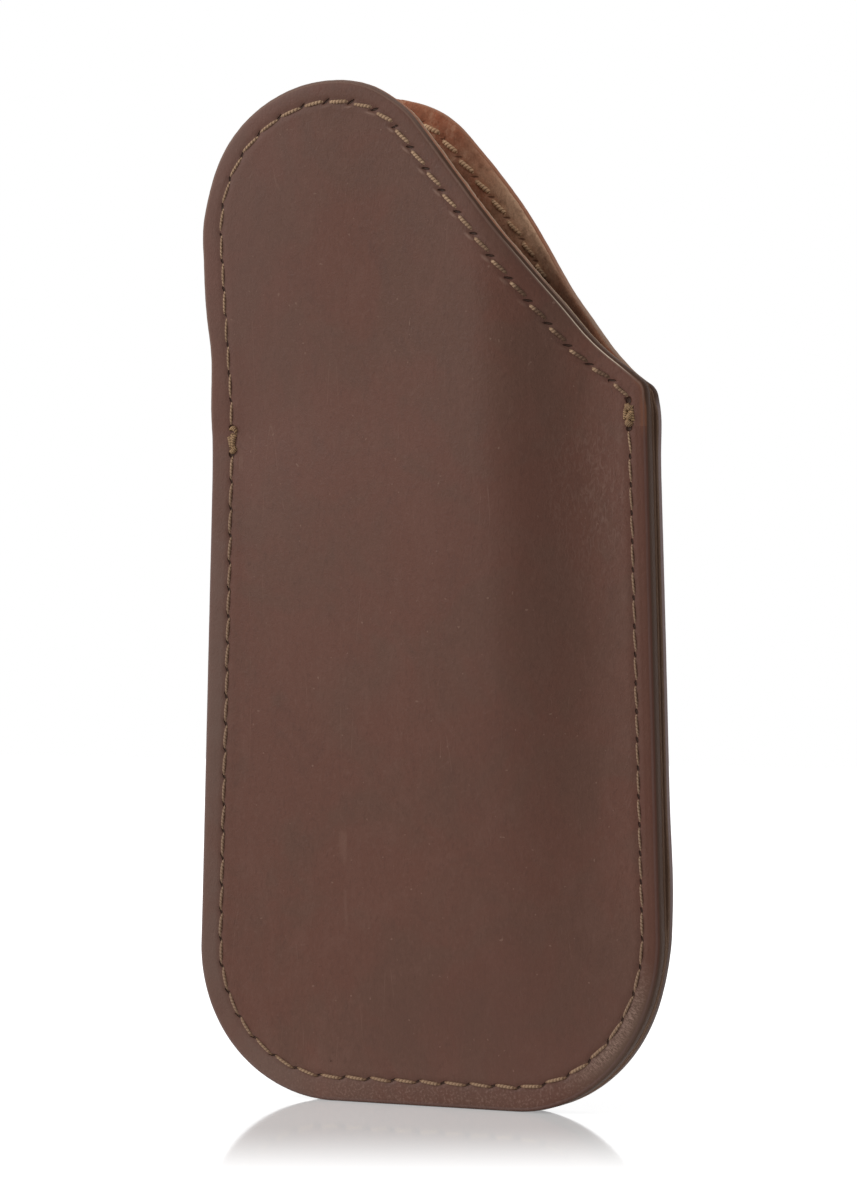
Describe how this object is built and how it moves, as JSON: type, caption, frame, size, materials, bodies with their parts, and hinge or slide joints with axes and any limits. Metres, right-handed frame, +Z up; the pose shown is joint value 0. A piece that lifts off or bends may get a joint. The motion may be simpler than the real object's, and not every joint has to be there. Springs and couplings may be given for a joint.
{
  "type": "pen case",
  "caption": "Upright leather slip case for a pen, two lined panels sewn round an open pocket, with a sloping mouth and a round tab.",
  "frame": {"origin": "middle of the bottom edge, which the case stands on", "axes": "+Z up along the case's length, towards the tab; the front panel faces -Y; +X towards the shoulder"},
  "size_m": [0.0864, 0.0226, 0.1748],
  "materials": {
    "outer_leather": "smooth oiled, satin",
    "suede_lining": "napped, matt",
    "thread": "twisted, waxed"
  },
  "bodies": {
    "root": {"front_shell": "outer_leather", "front_lining": "suede_lining", "back_shell": "outer_leather", "back_lining": "suede_lining", "seam_thread_front": "thread", "seam_thread_back": "thread", "front_lip_thread_outside": "thread", "front_lip_thread_inside": "thread", "back_lip_thread_outside": "thread", "back_lip_thread_inside": "thread", "left_backtack": "thread", "right_backtack": "thread"}
  },
  "joints": []
}
